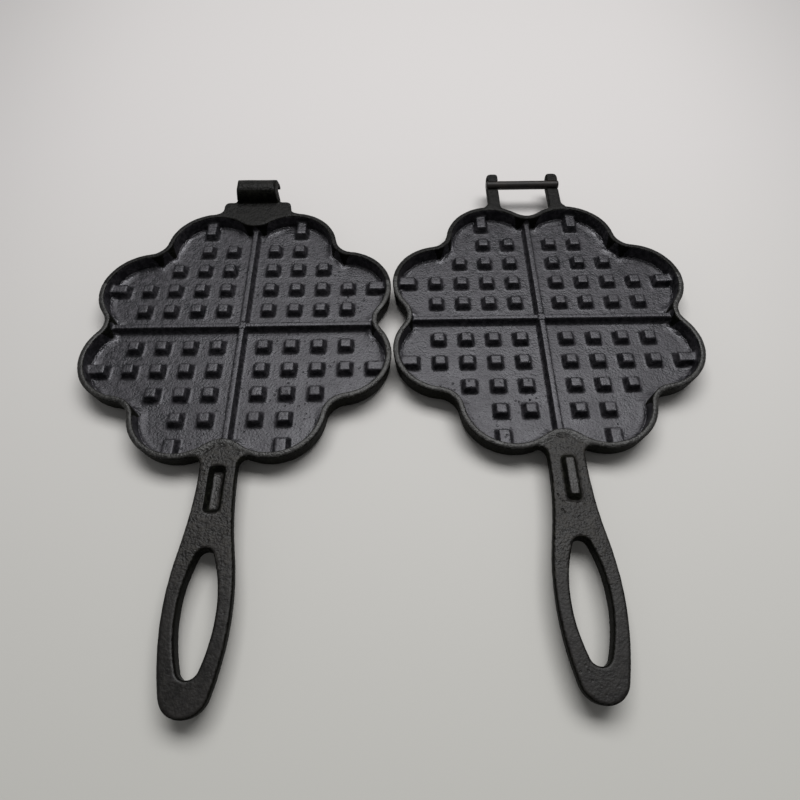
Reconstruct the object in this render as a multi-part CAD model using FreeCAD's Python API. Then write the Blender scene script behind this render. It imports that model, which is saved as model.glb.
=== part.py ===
import FreeCAD, Part
import math
import os

# A stovetop waffle iron: two cast-iron halves that hook together at one end and have a handle at the other.
# Millimetres. They lie open side by side on their flat undersides, griddle faces up, with +Z up and the
# handles towards -Y. The hook half is at -X and the fork half at +X. The origin is on the ground below the
# middle of both.

# Plate: a ring of round lobes with a notch between each two
lobe_count = 8
lobe_ring_radius = 66.0
lobe_radius = 30.1
notch_radius = 11.4
floor_thickness = 5.1
cavity_depth = 10.1
rim_width = 3.4
wall_draft_degrees = 5.0
cavity_draft_degrees = 4.0
base_edge_bevel = 3.8

# A small rounded corner in a plan is drawn as two flats: how far in and how far back their ends lie
round_corner_shares = ((1.0, 0.0), (0.293, 0.293), (0.0, 1.0))

# Griddle: a cross of dividers with rows of pegs in each quarter
divider_height = 5.6
divider_crest_radius = 1.1
divider_foot_width = 5.4
first_peg_offset = 13.9
peg_edge_offset = 7.8
peg_height = 5.0
peg_top_width = 6.0
peg_foot_width = 9.0
peg_bite = 0.4
griddle_root_depth = 0.4
pegs_in_row = (4, 5, 3, 2)
longest_row = 2

# Handle: neck, swelling grip and rounded end, pierced by a long eye
rim_step = 0.5
handle_thickness = 8.5
neck_half_width = 10.0
neck_stand_off = 9.1
grip_half_width = 16.3
grip_from_end = 46.0
grip_end_radius = 11.64
handle_reach = 121.3
handle_flare_radius = 5.0
handle_lower_edge_bevel = 2.2
handle_upper_edge_bevel = 0.9
eye_half_width = 9.2
eye_start_stand_off = 47.5
eye_from_end = 15.8
eye_start_radius = 4.5
eye_end_radius = 5.0
eye_edge_bevel = 0.8

# Key on the fork half's neck, and the pocket for it in the hook half's
key_stand_off = 16.6
key_width = 7.8
key_length = 25.6
key_height = 3.5
key_side_slope_share = 0.46
key_end_slope_share = 0.8
key_corner_radius = 2.2
key_root_depth = 0.5
key_clearance = 0.4
pocket_spare_depth = 0.6

# Hinge: a round bar through the fork half's two ears, and the hook that it turns in
hinge_stand_off = 20.3
closing_gap = 0.3
bar_radius = 2.9
bar_fit = 0.05
seat_clearance = 0.4
hook_half_width = 14.0
hook_crown_half_width = 13.0
hook_crown_bevel = 1.6
hook_rise = 10.85
hook_front_radius = 6.7
lip_thickness = 2.4
lip_drop = 0.6
riser_setback = 1.3
throat_depth = 4.2
pad_half_width = 22.8
pad_thickness = 9.5
pad_least_corner_radius = 0.6
pad_lower_edge_bevel = 1.6
pad_flare_radius = 4.5
arm_play = 2.7
root_play = 0.3
arm_width = 8.2
arm_thickness = 7.5
arm_outer_flare_radius = 5.0
arm_inner_flare_radius = 3.0
ear_reach = 9.1
ear_tip_gap = 0.6
arm_lower_edge_bevel = 1.0
ear_upper_edge_bevel = 0.8
ear_least_corner_radius = 0.3
ear_outer_corner_extra = 1.0

# How the two halves lie
plate_gap = 0.7
stagger = 3.26
overrun = 2.0

# Places worked out from the sizes above
half_step = math.pi / lobe_count
wall_slope = math.tan(math.radians(wall_draft_degrees))
cavity_slope = math.tan(math.radians(cavity_draft_degrees))
plate_height = floor_thickness + cavity_depth
plate_reach = lobe_ring_radius * math.cos(half_step) + lobe_radius
flank_x = lobe_ring_radius * math.sin(half_step)
flank_y = lobe_ring_radius * math.cos(half_step)
notch_stand_off = flank_y + math.sqrt((lobe_radius + notch_radius) ** 2 - flank_x**2)
notch_reach = notch_stand_off - notch_radius
hinge_y = plate_reach + hinge_stand_off
hinge_z = plate_height + closing_gap / 2
arm_inner_x = hook_half_width + arm_play
hook_root_radius = arm_play - root_play
arm_outer_x = arm_inner_x + arm_width
ear_tip_y = hinge_y + ear_reach
pad_edge_y = hinge_y - ear_reach - ear_tip_gap
pad_corner_radius = pad_least_corner_radius + pad_lower_edge_bevel + pad_thickness * wall_slope
ear_inner_corner_radius = ear_least_corner_radius + arm_lower_edge_bevel + arm_thickness * wall_slope
ear_outer_corner_radius = ear_inner_corner_radius + ear_outer_corner_extra
handle_top = plate_height - rim_step
grip_stand_off = handle_reach - grip_from_end
eye_end_stand_off = handle_reach - eye_from_end
handle_end_y = -(plate_reach + handle_reach)
half_spacing = plate_reach + plate_gap / 2
hook_half_y = (-handle_end_y - ear_tip_y - stagger) / 2
peg_columns = max(pegs_in_row)
peg_pitch = (plate_reach - rim_width - peg_edge_offset - first_peg_offset) / (peg_columns - 1)


def point(x, y, z=0.0):
    return FreeCAD.Vector(x, y, z)


def between(first, second, share):
    return first + (second - first) * share


def line(start, end):
    return Part.LineSegment(start, end).toShape()


def arc(centre, start, end):
    """The shorter arc about centre from start to end."""
    outward = (start - centre) + (end - centre)
    middle = centre + outward.normalize() * (start - centre).Length
    return Part.Arc(start, middle, end).toShape()


def closed(edges):
    return Part.Wire(Part.__sortEdges__(edges))


def both_sides(edges):
    """The edges and their mirror images across the middle plane x = 0."""
    return edges + [edge.mirror(point(0, 0), point(1, 0)) for edge in edges]


def raised(wire, z):
    return wire.translated(point(0, 0, z))


def wall_levels(bottom, top, lower_bevel=0.0, upper_bevel=0.0):
    """A drafted wall's outlines: their heights and how far each moves in, with bevelled edges if asked."""
    places = [(bottom + lower_bevel, 0.0), (top - upper_bevel, 0.0)]
    if lower_bevel:
        places.insert(0, (bottom, lower_bevel))
    if upper_bevel:
        places.append((top, upper_bevel))
    return [(z, inset + abs(plate_height - z) * wall_slope) for z, inset in places]


def walled(outline, levels):
    """A solid through an outline that moves in by its own amount at each height."""
    return Part.makeLoft([raised(outline(inset), z) for z, inset in levels], True, True)


def turned(radius, angle):
    return point(radius * math.cos(angle), radius * math.sin(angle))


def lobed_outline(inset):
    """The plate's outline moved in by inset: lobe and notch arcs that meet at a tangent."""
    meeting_share = (lobe_radius - inset) / (lobe_radius + notch_radius)
    edges = []
    for index in range(lobe_count):
        notch_angle = 2 * index * half_step
        lobe_angle = notch_angle + half_step
        notch_centre = turned(notch_stand_off, notch_angle)
        next_notch_centre = turned(notch_stand_off, lobe_angle + half_step)
        before = between(turned(lobe_ring_radius, notch_angle - half_step), notch_centre, meeting_share)
        after = between(turned(lobe_ring_radius, lobe_angle), notch_centre, meeting_share)
        following = between(turned(lobe_ring_radius, lobe_angle), next_notch_centre, meeting_share)
        tip = turned(lobe_ring_radius + lobe_radius - inset, lobe_angle)
        edges.append(Part.Arc(before, turned(notch_reach - inset, notch_angle), after).toShape())
        edges.append(Part.Arc(after, tip, following).toShape())
    return Part.Wire(edges)


def flare(side_x, radius, inset, outwards=1):
    """The arc that bends a lug's side out on to the lobe beside it: its centre, and its ends on both."""
    lobe_centre = point(flank_x, flank_y)
    centre_x = side_x + outwards * radius
    reach = lobe_radius + radius
    centre = point(centre_x, flank_y + math.sqrt(reach**2 - (centre_x - flank_x) ** 2))
    on_side = centre - point(outwards * (radius + inset), 0)
    on_lobe = between(lobe_centre, centre, (lobe_radius - inset) / reach)
    return centre, on_side, on_lobe


def root_edges(on_lobe):
    """From a lobe's edge to the middle plane, well inside the plate."""
    inner = point(on_lobe.x, flank_y)
    return [line(on_lobe, inner), line(inner, point(0, flank_y))]


def plate_blank():
    """The solid plate: drafted wall and bevelled lower edge."""
    return walled(lobed_outline, wall_levels(0, plate_height, base_edge_bevel))


def cavity():
    """The shallow pan inside the rim."""
    low = (floor_thickness, rim_width + cavity_depth * cavity_slope)
    high = (plate_height + overrun, rim_width - overrun * cavity_slope)
    return walled(lobed_outline, (low, high))


def divider():
    """A rib with sloping sides and a round crest, along X from rim to rim."""
    reach = notch_reach - rim_width / 2
    crest = floor_thickness + divider_height
    shoulder = crest - divider_crest_radius
    foot = divider_foot_width / 2
    corners = [
        point(-reach, -foot, floor_thickness - griddle_root_depth),
        point(-reach, foot, floor_thickness - griddle_root_depth),
        point(-reach, foot, floor_thickness),
        point(-reach, divider_crest_radius, shoulder),
        point(-reach, -divider_crest_radius, shoulder),
        point(-reach, -foot, floor_thickness),
    ]
    edges = [line(corners[i - 1], corners[i]) for i in range(len(corners)) if i != 4]
    edges.append(Part.Arc(corners[3], point(-reach, 0, crest), corners[4]).toShape())
    return Part.Face(closed(edges)).extrude(point(2 * reach, 0, 0))


def corner_points(x, y, radius, turn=1):
    """The points of a small rounded corner at x, y from the right side on, or from the left if turn is -1."""
    return [point(x - turn * inwards * radius, y - up * radius) for up, inwards in round_corner_shares]


def rounded_box_outline(width, length, radius):
    """A rectangle with rounded corners about the origin, width along X and length along Y."""
    right = corner_points(width / 2, length / 2, radius)
    left = [point(-corner.x, corner.y) for corner in reversed(right)]
    far = right + left
    near = [point(-corner.x, -corner.y) for corner in far]
    return Part.makePolygon(far + near + far[:1])


def peg(end=None):
    """A square peg with sloping sides. With end, its +X side stands upright that far from its middle."""
    slope = (peg_foot_width - peg_top_width) / 2 / peg_height
    top = peg_top_width / 2
    root = top + (peg_height + griddle_root_depth) * slope
    lying = Part.makeWedge(
        -root,
        floor_thickness - griddle_root_depth,
        -root,
        -top,
        -top,
        end or root,
        floor_thickness + peg_height,
        root,
        top,
        end or top,
    )
    return lying.rotated(point(0, 0), point(1, 0), 90)


def peg_place(column, row):
    return point(first_peg_offset + (column - 1) * peg_pitch, first_peg_offset + (row - 1) * peg_pitch)


def quarter_pegs():
    """One quarter's rows of pegs. The end ones of the longest row and column run into the rim."""
    plain = peg()
    long_peg = peg(peg_edge_offset + peg_bite)
    pegs = []
    for row, count in enumerate(pegs_in_row, 1):
        for column in range(1, count + 1):
            place = peg_place(column, row)
            pegs.append((long_peg if column == peg_columns else plain).translated(place))
    turned_peg = long_peg.rotated(point(0, 0), point(0, 0, 1), 90)
    pegs.append(turned_peg.translated(peg_place(longest_row, peg_columns)))
    return pegs


def griddle():
    """The dividers and all four quarters of pegs."""
    quarter = Part.makeCompound(quarter_pegs())
    pieces = [divider(), divider().rotated(point(0, 0), point(0, 0, 1), 90)]
    for mirrored_x in (False, True):
        for mirrored_y in (False, True):
            copy = quarter
            if mirrored_x:
                copy = copy.mirror(point(0, 0), point(1, 0))
            if mirrored_y:
                copy = copy.mirror(point(0, 0), point(0, 1))
            pieces.extend(copy.Solids)
    return pieces


def handle_outline(inset):
    """The handle's plan in touching arcs: flare, straight neck, hollow curve, swelling grip and round end."""
    centre, on_side, on_lobe = flare(neck_half_width, handle_flare_radius, inset)
    neck_y = plate_reach + neck_stand_off
    end_span = grip_from_end - grip_end_radius
    grip_swell = grip_half_width - grip_end_radius
    side_radius = (grip_half_width**2 + end_span**2 - grip_end_radius**2) / (2 * grip_swell)
    grip_centre = point(grip_half_width - side_radius, plate_reach + grip_stand_off)
    span = grip_stand_off - neck_stand_off
    lean = side_radius - grip_half_width + neck_half_width
    hollow_radius = (lean**2 + span**2 - side_radius**2) / (2 * (side_radius - lean))
    hollow_centre = point(neck_half_width + hollow_radius, neck_y)
    end_centre = point(0, plate_reach + handle_reach - grip_end_radius)
    neck_end = point(neck_half_width - inset, neck_y)
    turn_share = (hollow_radius + inset) / (hollow_radius + side_radius)
    turn = between(hollow_centre, grip_centre, turn_share)
    cap_start = between(grip_centre, end_centre, (side_radius - inset) / (side_radius - grip_end_radius))
    edges = root_edges(on_lobe)
    edges.append(arc(centre, on_lobe, on_side))
    edges.append(line(on_side, neck_end))
    edges.append(arc(hollow_centre, neck_end, turn))
    edges.append(arc(grip_centre, turn, cap_start))
    edges.append(arc(end_centre, cap_start, point(0, plate_reach + handle_reach - inset)))
    return closed(both_sides(edges))


def eye_outline(inset):
    """The long eye: two end arcs joined by two bowed sides that touch them."""
    start = point(0, plate_reach + eye_start_stand_off + eye_start_radius)
    end = point(0, plate_reach + eye_end_stand_off - eye_end_radius)
    length = end.y - start.y
    start_gap = eye_half_width - eye_start_radius
    end_gap = eye_half_width - eye_end_radius
    # Touching both ends fixes how far along the eye the bowed sides have their centre
    across = start_gap * length
    rest = start_gap * length**2 - start_gap * end_gap * (eye_start_radius - eye_end_radius)
    along = rest / (across + math.sqrt(across**2 + (end_gap - start_gap) * rest))
    side_radius = (along**2 + eye_half_width**2 - eye_start_radius**2) / (2 * start_gap)
    side_centre = point(eye_half_width - side_radius, start.y + along)
    side_start = side_centre + (start - side_centre).normalize() * (side_radius - inset)
    side_end = side_centre + (end - side_centre).normalize() * (side_radius - inset)
    edges = [
        arc(start, point(0, start.y - eye_start_radius + inset), side_start),
        arc(side_centre, side_start, side_end),
        arc(end, side_end, point(0, end.y + eye_end_radius - inset)),
    ]
    return closed(both_sides(edges))


def handle():
    """The handle, from inside the plate's rim to the round end, pierced by the eye with bevelled edges."""
    bottom = handle_top - handle_thickness
    levels = wall_levels(bottom, handle_top, handle_lower_edge_bevel, handle_upper_edge_bevel)
    eye_levels = (
        (bottom - overrun, -eye_edge_bevel - overrun),
        (bottom + eye_edge_bevel, 0),
        (handle_top - eye_edge_bevel, 0),
        (handle_top + overrun, -eye_edge_bevel - overrun),
    )
    pierced = walled(handle_outline, levels).cut(walled(eye_outline, eye_levels))
    return pierced.rotated(point(0, 0), point(0, 0, 1), 180)


def key_shape(grow, depth_up, depth_down):
    """The key's sloping block about its own middle, its foot at z = 0, grown all round by grow."""
    wires = []
    for z in (-depth_down, depth_up):
        width = key_width + 2 * grow - 2 * z * key_side_slope_share
        length = key_length + 2 * grow - 2 * z * key_end_slope_share
        radius = key_corner_radius - z * key_side_slope_share
        wires.append(raised(rounded_box_outline(width, length, radius), z))
    return Part.makeLoft(wires, True, True)


def key():
    """The raised key, which finds the pocket when the iron closes."""
    foot = point(0, -(plate_reach + key_stand_off), handle_top)
    return key_shape(0.0, key_height, key_root_depth).translated(foot)


def pocket():
    """The pocket: the key's own shape turned over, with clearance and some spare depth."""
    block = key_shape(key_clearance, key_height + pocket_spare_depth, key_root_depth)
    turned_over = block.rotated(point(0, 0), point(0, 1, 0), 180)
    return turned_over.translated(point(0, -(plate_reach + key_stand_off), handle_top))


def lines_through(points):
    return [line(first, second) for first, second in zip(points, points[1:])]


def pad_outline(inset):
    """The hook's pad, which fills the notch between two lobes."""
    centre, on_side, on_lobe = flare(pad_half_width, pad_flare_radius, inset)
    corner = corner_points(pad_half_width - inset, pad_edge_y - inset, pad_corner_radius - inset)
    edges = root_edges(on_lobe)
    edges.append(arc(centre, on_lobe, on_side))
    edges += lines_through([on_side] + corner + [point(0, pad_edge_y - inset)])
    return closed(both_sides(edges))


def hook():
    """The hook that holds the bar: an upright riser, a round crown over the seat and a short lip behind."""
    seat_radius = bar_radius + seat_clearance
    front_y = pad_edge_y - riser_setback
    crown_z = plate_height + hook_rise
    crown_y = front_y + hook_front_radius
    lip_y = hinge_y + seat_radius + lip_thickness
    back_radius = lip_y - crown_y
    lip_tip_z = hinge_z - lip_drop
    back_z = hinge_z - throat_depth
    foot_z = plate_height - pad_thickness
    front_foot = point(0, front_y, foot_z)
    front_top = point(0, front_y, crown_z - hook_front_radius)
    crown = point(0, crown_y, crown_z)
    lip_outer = point(0, lip_y, crown_z - back_radius)
    lip_low_outer = point(0, lip_y, lip_tip_z)
    lip_low_inner = point(0, hinge_y + seat_radius, lip_tip_z)
    seat_back = point(0, hinge_y + seat_radius, hinge_z)
    seat_front = point(0, hinge_y - seat_radius, hinge_z)
    throat_low = point(0, hinge_y - seat_radius, back_z)
    heel = point(0, pad_edge_y, foot_z)
    edges = [
        line(front_foot, front_top),
        arc(point(0, crown_y, crown_z - hook_front_radius), front_top, crown),
        arc(point(0, crown_y, crown_z - back_radius), crown, lip_outer),
        line(lip_outer, lip_low_outer),
        Part.Arc(
            lip_low_outer,
            point(0, lip_y - lip_thickness / 2, lip_tip_z - lip_thickness / 2),
            lip_low_inner,
        ).toShape(),
        line(lip_low_inner, seat_back),
        Part.Arc(seat_back, point(0, hinge_y, hinge_z + seat_radius), seat_front).toShape(),
        line(seat_front, throat_low),
        line(throat_low, heel),
        line(heel, front_foot),
    ]
    reach = hook_half_width + hook_root_radius
    blank = Part.Face(closed(edges)).translated(point(-reach, 0)).extrude(point(2 * reach, 0))
    return blank.common(hook_sides().fuse(hook_root()))


def hook_sides():
    """A wedge along Y that draws the hook's two sides in towards the crown and bevels the crown's ends."""
    low_z = plate_height - pad_thickness - overrun
    crown_z = plate_height + hook_rise
    front = pad_edge_y - riser_setback - overrun
    right = [
        point(hook_half_width, front, low_z),
        point(hook_half_width, front, plate_height),
        point(hook_crown_half_width, front, crown_z - hook_crown_bevel),
        point(hook_crown_half_width - hook_crown_bevel - overrun, front, crown_z + overrun),
    ]
    left = [point(-corner.x, front, corner.z) for corner in reversed(right)]
    face = Part.Face(Part.makePolygon(right + left + right[:1]))
    return face.extrude(point(0, ear_tip_y - front + overrun))


def hook_root():
    """The hook's root as high as the rim: its sides run out into the pad's edge with a round on each."""
    low_z = plate_height - pad_thickness - overrun
    front = pad_edge_y - riser_setback - overrun
    reach = hook_half_width + hook_root_radius
    end_y = pad_edge_y + hook_root_radius
    edges = lines_through([point(0, front), point(reach, front), point(reach, pad_edge_y)])
    edges.append(arc(point(reach, end_y), point(reach, pad_edge_y), point(hook_half_width, end_y)))
    edges.append(line(point(hook_half_width, end_y), point(0, end_y)))
    plan = Part.Face(closed(both_sides(edges)))
    return raised(plan, low_z).extrude(point(0, 0, plate_height - low_z))


def arm_outline(inset):
    """The right arm's plan, from inside the plate to the ear's rounded tip."""
    outer_centre, outer_side, outer_lobe = flare(arm_outer_x, arm_outer_flare_radius, inset)
    inner_centre, inner_side, inner_lobe = flare(arm_inner_x, arm_inner_flare_radius, inset, -1)
    tip_y = ear_tip_y - inset
    outer_corner = corner_points(arm_outer_x - inset, tip_y, ear_outer_corner_radius - inset)
    inner_corner = corner_points(arm_inner_x + inset, tip_y, ear_inner_corner_radius - inset, -1)
    tip = lines_through([outer_side] + outer_corner + inner_corner[::-1] + [inner_side])
    outer_root = point(outer_lobe.x, flank_y)
    inner_root = point(inner_lobe.x, flank_y)
    root = lines_through([inner_lobe, inner_root, outer_root, outer_lobe])
    flares = [arc(outer_centre, outer_lobe, outer_side), arc(inner_centre, inner_side, inner_lobe)]
    return closed(tip + root + flares)


def arm():
    """The right arm: flat on top as far as the bar, then an ear as high as the bar's crown."""
    crown_z = hinge_z + bar_radius
    lower_levels = wall_levels(plate_height - arm_thickness, plate_height, arm_lower_edge_bevel)
    upper_levels = wall_levels(plate_height, crown_z, upper_bevel=ear_upper_edge_bevel)
    lower = walled(arm_outline, lower_levels)
    upper = walled(arm_outline, upper_levels)
    front = Part.makeBox(
        arm_outer_x + arm_outer_flare_radius + overrun,
        hinge_y,
        crown_z - plate_height + overrun,
        point(0, 0, plate_height),
    )
    ear = upper.cut(front)
    whole = lower.fuse(ear).removeSplitter()
    return whole.cut(bar_solid(bar_fit))


def bar_solid(grow=0.0):
    """The bar across both ears, or with grow the way that it needs in them."""
    half_length = arm_outer_x + (overrun if grow else 0)
    start = point(-half_length, hinge_y, hinge_z)
    return Part.makeCylinder(bar_radius + grow, 2 * half_length, start, point(1, 0, 0))


def casting(lugs):
    """One half in one solid: plate, handle and hinge lugs, the pan sunk in and the griddle standing in it."""
    body = plate_blank().fuse([handle()] + lugs)
    return body.cut(cavity()).fuse(griddle()).removeSplitter()


def hook_half():
    pad = walled(pad_outline, wall_levels(plate_height - pad_thickness, plate_height, pad_lower_edge_bevel))
    return casting([pad, hook()]).cut(pocket())


def fork_half():
    right = arm()
    return casting([right, right.mirror(point(0, 0), point(1, 0))]).fuse(key()).removeSplitter()


hook_place = point(-half_spacing, hook_half_y)
fork_place = point(half_spacing, hook_half_y + stagger)
nodes = {
    "hook_half": hook_half().translated(hook_place),
    "fork_half": fork_half().translated(fork_place),
    "hinge_bar": bar_solid().translated(fork_place),
}

os.makedirs("parts", exist_ok=True)
for name, shape in nodes.items():
    shape.exportStep("parts/" + name + ".step")
    print(name, len(shape.Solids), shape.isValid(), round(shape.Volume), shape.BoundBox)
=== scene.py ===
import math

import bmesh
import bpy
import numpy as np
from mathutils import Matrix, Vector, noise


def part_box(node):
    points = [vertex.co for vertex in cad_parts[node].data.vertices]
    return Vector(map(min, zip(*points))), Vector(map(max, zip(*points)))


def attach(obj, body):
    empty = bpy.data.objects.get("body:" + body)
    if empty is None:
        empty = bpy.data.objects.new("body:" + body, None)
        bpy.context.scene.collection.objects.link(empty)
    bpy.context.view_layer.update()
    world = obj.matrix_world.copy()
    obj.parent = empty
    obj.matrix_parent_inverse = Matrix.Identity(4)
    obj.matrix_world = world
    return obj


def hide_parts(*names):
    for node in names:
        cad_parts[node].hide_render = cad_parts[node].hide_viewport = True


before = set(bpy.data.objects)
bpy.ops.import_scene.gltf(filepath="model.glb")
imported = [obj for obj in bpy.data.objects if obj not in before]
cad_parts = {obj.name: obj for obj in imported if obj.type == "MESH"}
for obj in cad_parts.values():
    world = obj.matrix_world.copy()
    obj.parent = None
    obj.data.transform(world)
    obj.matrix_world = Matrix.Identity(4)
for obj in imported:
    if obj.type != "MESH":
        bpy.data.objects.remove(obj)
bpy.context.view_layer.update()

hook_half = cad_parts["hook_half"]
fork_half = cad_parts["fork_half"]
hinge_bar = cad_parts["hinge_bar"]

# Lengths are in metres and angles in radians, except where a name says otherwise.

# The camera, found from the photograph's outlines and pegs
camera_place = Vector((0.003905, -0.17689, 0.29799))
camera_pitch = math.radians(59.909)
camera_roll = -0.013
camera_yaw = -0.001
camera_lens_mm = 26.593
sensor_mm = 36.0
camera_clip_start = 0.01

# One broad soft light, high up beyond the iron's far side, and a little light from all round
light_place = (0.11, 0.48, 1.1)
light_aim = (0.01, 0.02, 0)
light_width = 1.2
light_height = 0.6
light_watts = 15.3
world_strength = 0.15

# Painted shade on the board, for the lamp's light falling off: it darkens along Y towards the handles, and with the
# distance from the middle along X
board_half_size = 3.0
board_painted_shade_near = -0.2
board_painted_shade_far = 0.22
board_painted_side_shade_start = 0.2
board_painted_side_shade_end = 0.5
board_painted_side_shade_share = 0.4

# Where the two plates' middles lie along Y
plate_centre_y = {"hook_half": 0.04432, "fork_half": 0.04758}

# Cast skin of the two halves: the mesh step, how far edges are rounded and the mould's unevenness
skin_step = 0.0007
skin_soften_rounds = 2
rim_soften_rounds = 3
soften_share = 0.5
rim_edge_low = 0.0126
rim_top = 0.0152
plate_inner_reach = 0.074
swell_height = 0.00016
swell_width = 0.021
ripple_height = 0.00006
ripple_width = 0.0052

# The pan inside the rim: its outline is eight lobes round a middle circle
lobe_count = 8
lobe_half_step = math.pi / lobe_count
lobe_ring_radius = 0.066
inner_lobe_radius = 0.0267
inner_notch_reach = 0.0791
pan_floor_low = 0.004
pan_floor = 0.0051

# The dividers' crests are worn square: spread out to the sides towards their tops, and almost flat there
crest_foot = 0.0075
crest_shoulder = 0.0097
crest_top = 0.0105
crest_reach = 0.002
crest_spread = 0.5
crest_sag = 0.2

# The pan's corner: an uneven fillet at the foot of the wall, with a painted highlight, a thin light glossy line, along
# it except on the near side
wall_lean = 0.0007
fillet_reach = 0.0042
fillet_rise = 0.0009
fillet_curve = 1.5
fillet_unevenness = 0.007
corner_rise = 1.5 * fillet_rise
painted_highlight_start = 0.0002
painted_highlight_width = 0.0013
painted_highlight_waviness = 1.6
painted_highlight_near_end = -0.03

# The rim slopes outwards a little, except where the lugs leave it. Its far part takes the lugs' painted shade
rim_width = 0.0034
rim_slope = 0.13
far_rim = 0.03
lug_half_width = 0.027
lug_start = 0.06

# A fold in the skin runs across the handle's root, broken in places
fold_from_pan = 0.0045
fold_half_width = 0.001
fold_depth = 0.0006
fold_reach = 0.0095
fold_evenness = 0.8
fold_breaks = 2

# The key and the pocket's floor, from the plate's middle
key_middle = 0.1099
key_half_width = 0.0036
key_half_length = 0.0125

# A face is steep, or off the rim's top, when the upright part of its normal is less than this
steep_share = 0.78
rim_steep_share = 0.45

# The slots of a casting's finishes, in the order of the finishes below
handle_slot, pan_slot, rim_slot, painted_shade_wall_slot, painted_shade_lug_slot, key_slot, painted_highlight_slot = range(7)

# The skin's patterns. Foundry sand is 0.3 mm wide. Its grain is drawn 1.2 mm wide, because finer grain vanishes at
# the photograph's distance. Dust holds where the grain is clumped, at 3 mm. The oil pools over 17 mm. Gas pits lie
# 3.4 mm apart, in patches 24 mm wide
grain_mm = 1.2
clump_mm = 3.0
film_mm = 17.0
pit_mm = 3.4
pit_zone_mm = 24.0
pit_depth = 1.4
dust_roughness = 0.1

# Between which two values of its noise, which runs from 0 to 1, each of them goes from none to full
tint_range = (0.36, 0.66)
gloss_range = (0.35, 0.65)
dust_range = (0.44, 0.66)
pit_zone_range = (0.5, 0.64)

# How far from a pit's middle its bottom ends and its brim lies, as shares of the pits' spacing
pit_edge = (0.1, 0.24)

# Hands rub the grip smooth: beside the eye's upper end, grain and dust fade from their full share to a small one
grip_smooth_from = -0.122
grip_grain_to = -0.095
grip_grain_share = 0.3
full_grain_share = 0.95

# The rod: its ends are filed and it isn't quite true. Rolling marks run round it, four times as long as wide
bar_end_bevel = 0.0004
bar_rings = 60
bar_sides = 64
bar_unevenness = 0.00003
bar_uneven_width = 0.004
bar_mark_mm = 1.1
bar_film_mm = 7.0
bar_tint_range = (0.38, 0.68)
bar_mark_squeeze = (1.0, 0.25, 0.25)
bar_mark_depth = 0.00008


def colour(hex_value):
    """An sRGB hex value as opaque linear colour."""
    parts = [int(hex_value[i : i + 2], 16) / 255 for i in (1, 3, 5)]
    linear = [p / 12.92 if p <= 0.04045 else ((p + 0.055) / 1.055) ** 2.4 for p in parts]
    return (*linear, 1.0)


def per_mm(width):
    """The scale at which a texture's features are this many millimetres wide."""
    return 1000.0 / width


def add(tree, kind, settings=None, **inputs):
    """Adds a node to tree with its settings. An input is a value, or another node's output socket to link.

    An input is named with its socket's name, or as i and the socket's number.
    """
    node = tree.nodes.new(kind)
    for name, value in (settings or {}).items():
        setattr(node, name, value)
    for name, value in inputs.items():
        key = int(name[1:]) if name[0] == "i" and name[1:].isdigit() else name.replace("_", " ")
        socket = node.inputs[key]
        if isinstance(value, bpy.types.NodeSocket):
            tree.links.new(value, socket)
        else:
            socket.default_value = value
    return node


def blank_material(name):
    material = bpy.data.materials.new(name)
    material.use_nodes = True
    material.node_tree.nodes.clear()
    return material, material.node_tree
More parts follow.
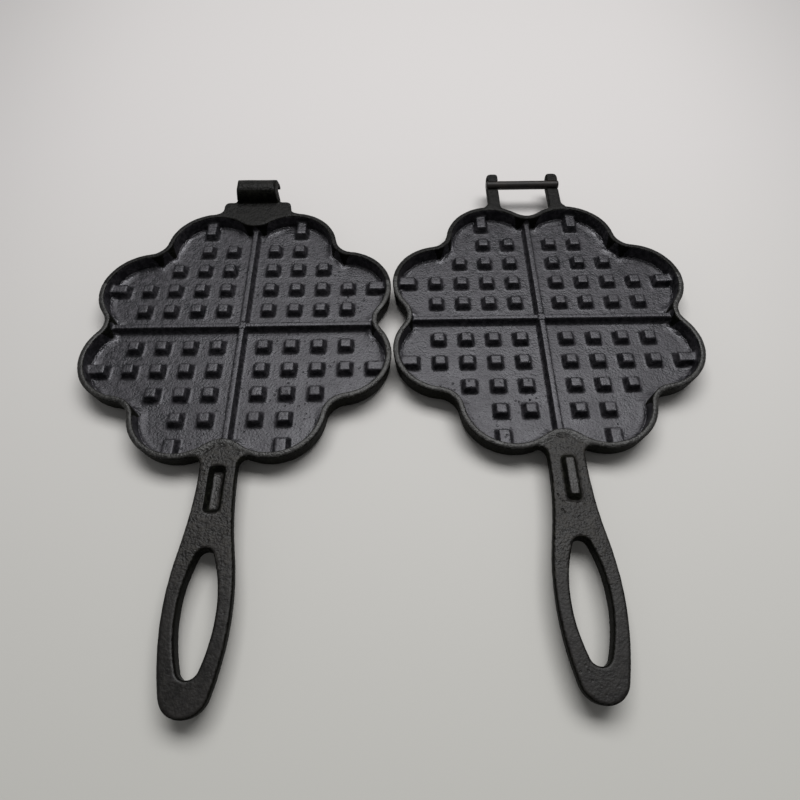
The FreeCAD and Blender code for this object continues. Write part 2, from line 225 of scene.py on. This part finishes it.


# Sand-cast grey iron with oil baked on to it. The sand leaves a fine grain that catches the light in specks, the
# oil a patchy satin film. The copies are charcoal where a face lies flat under the light, darker at the hinge end
# and almost black on the upright walls: painted shade. A finish has the film's dark and light colours, the tint of
# dry dust in the grain, the least and most roughness, how strongly it mirrors, the grain's height and a cast for the
# mirrored light.
def seasoned_cast_iron(name, dark, light, dust_tint, film_gloss, sparkle, grain_depth, cast="#ffffff"):
    material, tree = blank_material(name)
    where = add(tree, "ShaderNodeTexCoord").outputs["Object"]
    grain = add(tree, "ShaderNodeTexNoise", Vector=where, Scale=per_mm(grain_mm), Detail=1.0, Roughness=0.5)
    clumps = add(tree, "ShaderNodeTexNoise", Vector=where, Scale=per_mm(clump_mm), Detail=3.0, Roughness=0.7)
    film = add(tree, "ShaderNodeTexNoise", Vector=where, Scale=per_mm(film_mm), Detail=4.0, Roughness=0.55)
    pits = add(tree, "ShaderNodeTexVoronoi", Vector=where, Scale=per_mm(pit_mm))
    pit_zone = add(tree, "ShaderNodeTexNoise", Vector=where, Scale=per_mm(pit_zone_mm), Detail=2.0)

    lengthwise = add(tree, "ShaderNodeSeparateXYZ", Vector=where)
    unrubbed = add(
        tree,
        "ShaderNodeMapRange",
        Value=lengthwise.outputs["Y"],
        From_Min=grip_smooth_from,
        From_Max=grip_grain_to,
        To_Min=grip_grain_share,
        To_Max=full_grain_share,
    )

    tint = add(tree, "ShaderNodeValToRGB", Fac=film.outputs["Fac"])
    for stop, place, shade in zip(tint.color_ramp.elements, tint_range, (dark, light)):
        stop.position = place
        stop.color = colour(shade)
    dust = add(
        tree,
        "ShaderNodeMapRange",
        Value=clumps.outputs["Fac"],
        From_Min=dust_range[0],
        From_Max=dust_range[1],
        To_Max=unrubbed.outputs["Result"],
    )
    dusty = add(
        tree,
        "ShaderNodeMix",
        {"data_type": "RGBA"},
        i0=dust.outputs["Result"],
        i6=tint.outputs["Color"],
        i7=colour(dust_tint),
    )

    pitted = add(
        tree,
        "ShaderNodeMapRange",
        Value=pit_zone.outputs["Fac"],
        From_Min=pit_zone_range[0],
        From_Max=pit_zone_range[1],
    )
    hole = add(
        tree,
        "ShaderNodeMapRange",
        Value=pits.outputs["Distance"],
        From_Min=pit_edge[0],
        From_Max=pit_edge[1],
        To_Min=1.0,
        To_Max=0.0,
    )
    depth = add(
        tree,
        "ShaderNodeMath",
        {"operation": "MULTIPLY"},
        i0=hole.outputs["Result"],
        i1=pitted.outputs["Result"],
    )
    grains = add(
        tree,
        "ShaderNodeMath",
        {"operation": "ADD"},
        i0=clumps.outputs["Fac"],
        i1=grain.outputs["Fac"],
    )
    height = add(
        tree,
        "ShaderNodeMath",
        {"operation": "MULTIPLY_ADD"},
        i0=depth.outputs[0],
        i1=-pit_depth,
        i2=grains.outputs[0],
    )
    bump = add(
        tree,
        "ShaderNodeBump",
        Height=height.outputs[0],
        Strength=unrubbed.outputs["Result"],
        Distance=grain_depth,
    )

    gloss = add(
        tree,
        "ShaderNodeMapRange",
        Value=film.outputs["Fac"],
        From_Min=gloss_range[0],
        From_Max=gloss_range[1],
        To_Min=film_gloss[0],
        To_Max=film_gloss[1],
    )
    rough = add(
        tree,
        "ShaderNodeMath",
        {"operation": "MULTIPLY_ADD"},
        i0=dust.outputs["Result"],
        i1=dust_roughness,
        i2=gloss.outputs["Result"],
    )
    shader = add(
        tree,
        "ShaderNodeBsdfPrincipled",
        Base_Color=dusty.outputs[2],
        Roughness=rough.outputs[0],
        Specular_IOR_Level=sparkle,
        Specular_Tint=colour(cast),
        Normal=bump.outputs["Normal"],
    )
    add(tree, "ShaderNodeOutputMaterial", Surface=shader.outputs["BSDF"])
    return material


# Mild steel rod, hot rolled and blackened with the same oil: smoother than the castings, with a clearer highlight
# along its top and faint marks round it
def blackened_steel():
    material, tree = blank_material("rolled_steel_oil_blackened")
    where = add(tree, "ShaderNodeTexCoord").outputs["Object"]
    squeezed = add(tree, "ShaderNodeMapping", Vector=where, Scale=bar_mark_squeeze)
    marks = add(
        tree,
        "ShaderNodeTexNoise",
        Vector=squeezed.outputs["Vector"],
        Scale=per_mm(bar_mark_mm),
        Detail=3.0,
    )
    film = add(tree, "ShaderNodeTexNoise", Vector=where, Scale=per_mm(bar_film_mm), Detail=3.0)
    tint = add(tree, "ShaderNodeValToRGB", Fac=film.outputs["Fac"])
    for stop, place, shade in zip(tint.color_ramp.elements, bar_tint_range, ("#1a1817", "#2a2521")):
        stop.position = place
        stop.color = colour(shade)
    rough = add(tree, "ShaderNodeMapRange", Value=marks.outputs["Fac"], To_Min=0.38, To_Max=0.58)
    bump = add(tree, "ShaderNodeBump", Height=marks.outputs["Fac"], Strength=0.6, Distance=bar_mark_depth)
    shader = add(
        tree,
        "ShaderNodeBsdfPrincipled",
        Base_Color=tint.outputs["Color"],
        Roughness=rough.outputs["Result"],
        Specular_IOR_Level=0.27,
        Normal=bump.outputs["Normal"],
    )
    add(tree, "ShaderNodeOutputMaterial", Surface=shader.outputs["BSDF"])
    return material


# Matt laminated board, pale warm grey, with painted shade: a little darker towards the handles and at both sides,
# where the lamp's light falls off
def pale_board():
    material, tree = blank_material("matt_laminated_board")
    where = add(tree, "ShaderNodeTexCoord").outputs["Object"]
    along = add(tree, "ShaderNodeSeparateXYZ", Vector=where)
    # Painted shade: darker towards the handles, where the lamp's light falls off
    fall = add(
        tree,
        "ShaderNodeMapRange",
        Value=along.outputs["Y"],
        From_Min=board_painted_shade_near,
        From_Max=board_painted_shade_far,
    )
    tint = add(
        tree,
        "ShaderNodeMix",
        {"data_type": "RGBA"},
        i0=fall.outputs["Result"],
        i6=colour("#c8c7c2"),
        i7=colour("#cfcccb"),
    )
    # Painted shade at both sides, where the lamp's light falls off
    sideways = add(tree, "ShaderNodeMath", {"operation": "ABSOLUTE"}, i0=along.outputs["X"])
    side = add(
        tree,
        "ShaderNodeMapRange",
        {"interpolation_type": "SMOOTHSTEP"},
        Value=sideways.outputs[0],
        From_Min=board_painted_side_shade_start,
        From_Max=board_painted_side_shade_end,
        To_Max=board_painted_side_shade_share,
    )
    shaded = add(
        tree,
        "ShaderNodeMix",
        {"data_type": "RGBA"},
        i0=side.outputs["Result"],
        i6=tint.outputs[2],
        i7=colour("#8f8e8c"),
    )
    shader = add(tree, "ShaderNodeBsdfPrincipled", Base_Color=shaded.outputs[2], Roughness=0.7)
    add(tree, "ShaderNodeOutputMaterial", Surface=shader.outputs["BSDF"])
    return material


def in_scene(name, data):
    """A new object in the scene, with this mesh, camera or light."""
    thing = bpy.data.objects.new(name, data)
    bpy.context.scene.collection.objects.link(thing)
    return thing


def make_camera():
    across = Vector((math.cos(camera_yaw), math.sin(camera_yaw), 0))
    level = Vector((-math.sin(camera_yaw), math.cos(camera_yaw), 0))
    forward = math.cos(camera_pitch) * level - math.sin(camera_pitch) * Vector((0, 0, 1))
    up = across.cross(forward)
    right = math.cos(camera_roll) * across + math.sin(camera_roll) * up
    turned_up = math.cos(camera_roll) * up - math.sin(camera_roll) * across
    data = bpy.data.cameras.new("camera")
    data.lens = camera_lens_mm
    data.sensor_width = sensor_mm
    data.clip_start = camera_clip_start
    camera = in_scene("camera", data)
    turn = Matrix((right, turned_up, -forward)).transposed().to_4x4()
    camera.matrix_world = Matrix.Translation(camera_place) @ turn
    bpy.context.scene.camera = camera


def make_floor():
    size = board_half_size
    mesh = bpy.data.meshes.new("floor")
    mesh.from_pydata([(-size, -size, 0), (size, -size, 0), (size, size, 0), (-size, size, 0)], [], [(0, 1, 2, 3)])
    mesh.materials.append(pale_board())
    floor = in_scene("floor", mesh)


def make_lights():
    data = bpy.data.lights.new("overhead", "AREA")
    data.shape = "RECTANGLE"
    data.size = light_width
    data.size_y = light_height
    data.energy = light_watts
    light = in_scene("overhead", data)
    light.location = light_place
    light.rotation_euler = (Vector(light_aim) - Vector(light_place)).to_track_quat("-Z", "Y").to_euler()

    world = bpy.data.worlds.new("studio")
    world.use_nodes = True
    background = world.node_tree.nodes["Background"]
    background.inputs["Color"].default_value = colour("#ffffff")
    background.inputs["Strength"].default_value = world_strength
    bpy.context.scene.world = world
    bpy.context.scene.view_settings.view_transform = "Standard"


def baked(piece):
    """The piece's mesh with its modifiers applied, in place of the one it had."""
    shaped = bpy.data.meshes.new_from_object(piece.evaluated_get(bpy.context.evaluated_depsgraph_get()))
    piece.modifiers.clear()
    piece.data = shaped
    return shaped


def soften(piece, rounds, group=""):
    modifier = piece.modifiers.new("soften", "SMOOTH")
    modifier.factor = soften_share
    modifier.iterations = rounds
    modifier.vertex_group = group


def rows(parts, field):
    """A field of three numbers, for each of a mesh's vertices or faces, as the rows of an array."""
    values = np.empty(len(parts) * 3)
    parts.foreach_get(field, values)
    return values.reshape(-1, 3)


def move_points(mesh, places):
    mesh.vertices.foreach_set("co", places.ravel())
    mesh.update()


def smooth_noise(places, width):
    """Noise between about -1 and 1 at each place, with bumps this wide."""
    return np.array([noise.noise(Vector(place)) for place in places / width])


def uneven(mesh, layers):
    """Moves every point along its normal by smooth noise. A layer is a height and the width of its bumps."""
    places = rows(mesh.vertices, "co")
    shifts = sum(height * smooth_noise(places, width) for height, width in layers)
    move_points(mesh, places + rows(mesh.vertices, "normal") * shifts[:, None])


def into_pan(x, y):
    """How far a place, measured from the plate's middle, lies inside the rim's inner edge. Outside it is negative."""
    gaps = [inner_notch_reach - np.hypot(x, y)]
    for turn in lobe_half_step + 2 * lobe_half_step * np.arange(lobe_count):
        lobe_x = lobe_ring_radius * math.cos(turn)
        lobe_y = lobe_ring_radius * math.sin(turn)
        gaps.append(inner_lobe_radius - np.hypot(x - lobe_x, y - lobe_y))
    return np.maximum.reduce(gaps)


def cast_details(mesh, centre):
    """What the mould and use leave: square-worn crests, fillets round the pan, a sloping rim and the root's fold."""
    places = rows(mesh.vertices, "co")
    x, y, z = (places - np.array(centre)).T
    inside = into_pan(x, y)
    uneven_here = smooth_noise(places, fillet_unevenness)

    for across in (x, y):
        crest = (abs(across) < crest_reach) & (z > crest_foot) & (z < crest_top + skin_step) & (inside > 0)
        rise = np.clip((z[crest] - crest_foot) / (crest_top - crest_foot), 0, 1)
        across[crest] *= 1 + crest_spread * rise
        worn = crest & (z > crest_shoulder)
        z[worn] = crest_top - crest_sag * (crest_top - z[worn])

    foot = inside - wall_lean
    fillet = (z < pan_floor + fillet_rise) & (z > pan_floor_low) & (foot > 0) & (foot < fillet_reach)
    slope = (1 - foot[fillet] / fillet_reach) ** fillet_curve
    z[fillet] += fillet_rise * slope * (1 + uneven_here[fillet])

    lugs = (abs(x) < lug_half_width) & (y > lug_start)
    rim = (z > rim_edge_low) & (inside < 0) & (inside > -rim_width - skin_step) & ~lugs
    z[rim] += rim_slope * inside[rim] * (z[rim] - rim_edge_low) / (rim_top - rim_edge_low)

    from_fold = abs(inside + fold_from_pan) / fold_half_width
    fold = (from_fold < 1) & (abs(x) < fold_reach) & (y < 0) & (z > rim_edge_low)
    unbroken = np.clip(fold_evenness + fold_breaks * uneven_here[fold], 0, 1)
    z[fold] -= fold_depth * (1 - from_fold[fold]) * unbroken

    move_points(mesh, np.column_stack((x, y, z)) + np.array(centre))


def finish_slots(mesh, centre):
    """The slot of each face's finish, from where the face lies and how steep it is."""
    middles = rows(mesh.polygons, "center") - np.array(centre)
    x, y, z = middles.T
    level = abs(rows(mesh.polygons, "normal")[:, 2])
    steep = level < steep_share
    inside = into_pan(x, y)
    pan = (inside > 0) & (z > pan_floor_low)
    rim = (level > rim_steep_share) & (inside <= 0) & (inside > -rim_width - skin_step) & (z > rim_edge_low)
    lugs = (abs(x) < lug_half_width) & (y > lug_start) & (inside < -rim_width)
    key = ~steep & (abs(x) < key_half_width) & (abs(y + key_middle) < key_half_length)

    # Painted highlight: a thin wavy line along the fillet at the pan's foot, left off the near side
    painted_highlight = np.zeros(len(z), bool)
    corner = np.flatnonzero(pan & (z < pan_floor + corner_rise) & (inside < fillet_reach))
    width = painted_highlight_width * (1 + painted_highlight_waviness * smooth_noise(middles[corner], fillet_unevenness))
    foot = inside[corner] - wall_lean - painted_highlight_start
    painted_highlight[corner] = (foot > 0) & (foot < width) & (y[corner] > painted_highlight_near_end)

    # A face in more than one of these takes the first
    zones = {
        painted_highlight_slot: painted_highlight,
        pan_slot: pan,
        rim_slot: rim & (y < far_rim),
        # Hinge lugs and far rims take painted shade
        painted_shade_lug_slot: rim | (lugs & ~steep),
        # Upright faces off the pan take painted shade
        painted_shade_wall_slot: steep,
        key_slot: key,
    }
    return np.select(list(zones.values()), list(zones), handle_slot).astype(np.int32)


def cast_piece(node, name, body, finishes):
    """A casting in its CAD solid's shape, with edges as round and faces as uneven as sand leaves them."""
    low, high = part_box(node.name)
    centre = Vector(((low[0] + high[0]) / 2, plate_centre_y[node.name], 0))
    piece = in_scene(name, node.data.copy())
    piece.data.materials.clear()
    remesh = piece.modifiers.new("remesh", "REMESH")
    remesh.mode = "VOXEL"
    remesh.voxel_size = skin_step
    soften(piece, skin_soften_rounds)
    mesh = baked(piece)

    rim = piece.vertex_groups.new(name="rim")
    for vertex in mesh.vertices:
        away = math.hypot(vertex.co.x - centre.x, vertex.co.y - centre.y)
        if rim_edge_low < vertex.co.z < rim_top + skin_step and away > plate_inner_reach:
            rim.add([vertex.index], 1.0, "REPLACE")
    soften(piece, rim_soften_rounds, "rim")
    mesh = baked(piece)
    piece.vertex_groups.clear()

    cast_details(mesh, centre)
    uneven(mesh, ((swell_height, swell_width), (ripple_height, ripple_width)))
    # No bump may leave the solid's own box
    move_points(mesh, np.clip(rows(mesh.vertices, "co"), low, high))
    mesh.materials.clear()
    for finish in finishes:
        mesh.materials.append(finish)
    mesh.polygons.foreach_set("material_index", finish_slots(mesh, centre))
    mesh.shade_smooth()
    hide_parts(node.name)
    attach(piece, body)


def round_bar(node, name, body, material):
    """The rod across the ears, between bevelled ends, as long and thick as the CAD's bar."""
    low, high = [Vector(corner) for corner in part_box(node.name)]
    middle = (low + high) / 2
    radius = (high.y - low.y) / 2 - bar_unevenness
    stations = [(low.x, radius - bar_end_bevel)]
    for ring in range(bar_rings + 1):
        share = ring / bar_rings
        stations.append((low.x + bar_end_bevel + share * (high.x - low.x - 2 * bar_end_bevel), radius))
    stations.append((high.x, radius - bar_end_bevel))
    shape = bmesh.new()
    rings = []
    for x, reach in stations:
        ring = []
        for side in range(bar_sides):
            angle = 2 * math.pi * side / bar_sides
            ring.append(shape.verts.new((x, middle.y + reach * math.cos(angle), middle.z + reach * math.sin(angle))))
        rings.append(ring)
    for first, second in zip(rings, rings[1:]):
        for side in range(bar_sides):
            after = (side + 1) % bar_sides
            shape.faces.new((first[side], first[after], second[after], second[side]))
    shape.faces.new(rings[0][::-1])
    shape.faces.new(rings[-1])
    bmesh.ops.recalc_face_normals(shape, faces=shape.faces)
    mesh = bpy.data.meshes.new(name)
    shape.to_mesh(mesh)
    shape.free()
    uneven(mesh, ((bar_unevenness, bar_uneven_width),))
    mesh.materials.append(material)
    mesh.shade_smooth()
    piece = in_scene(name, mesh)
    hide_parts(node.name)
    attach(piece, body)


iron_finishes = [
    # Handle and lower side: a thick film, brown-black and satin
    seasoned_cast_iron("sand_cast_iron_thick_oil_film", "#11100f", "#1d1b1a", "#34322f", (0.38, 0.48), 0.24, 0.0004),
    # Pan, pegs and dividers: a thin film, cold grey, that mirrors the light best
    seasoned_cast_iron(
        "sand_cast_iron_thin_oil_film", "#121316", "#1d1c1f", "#3a383c", (0.34, 0.44), 0.48, 0.00022, "#f9f8ff"
    ),
    # The rims' tops: filed flat, with less grain
    seasoned_cast_iron("filed_cast_iron_oil_film", "#141413", "#201f1d", "#2f2e2c", (0.36, 0.46), 0.43, 0.0003),
    # Outer walls and other upright faces off the pan: painted shade, a black and dull copy of the iron for faces
    # turned away from the lamp
    seasoned_cast_iron("sand_cast_iron_painted_wall_shade", "#0b0b0a", "#131310", "#1b1c17", (0.45, 0.6), 0.03, 0.0004),
    # Hinge lugs and far rims: painted shade, a darker and duller copy of the iron for the far end, which is darker
    # under the lamp
    seasoned_cast_iron("sand_cast_iron_painted_far_shade", "#0f0f0e", "#181817", "#222120", (0.4, 0.5), 0.12, 0.0004),
    # The key's top and the pocket's floor: rubbed brighter where the halves meet
    seasoned_cast_iron("rubbed_cast_iron_oil_film", "#151413", "#211f1e", "#343230", (0.34, 0.42), 0.3, 0.0003),
    # The pan's corner: painted highlight, a thin light and glossy line where the fillet catches the light
    seasoned_cast_iron(
        "cast_iron_painted_highlight_line", "#1c1c1f", "#2a292d", "#3f3d42", (0.28, 0.36), 0.66, 0.0002, "#f9f8ff"
    ),
]
make_camera()
make_floor()
make_lights()
cast_piece(hook_half, "hook_half_casting", "hook_half", iron_finishes)
cast_piece(fork_half, "fork_half_casting", "fork_half", iron_finishes)
round_bar(hinge_bar, "hinge_rod", "hinge_bar", blackened_steel())
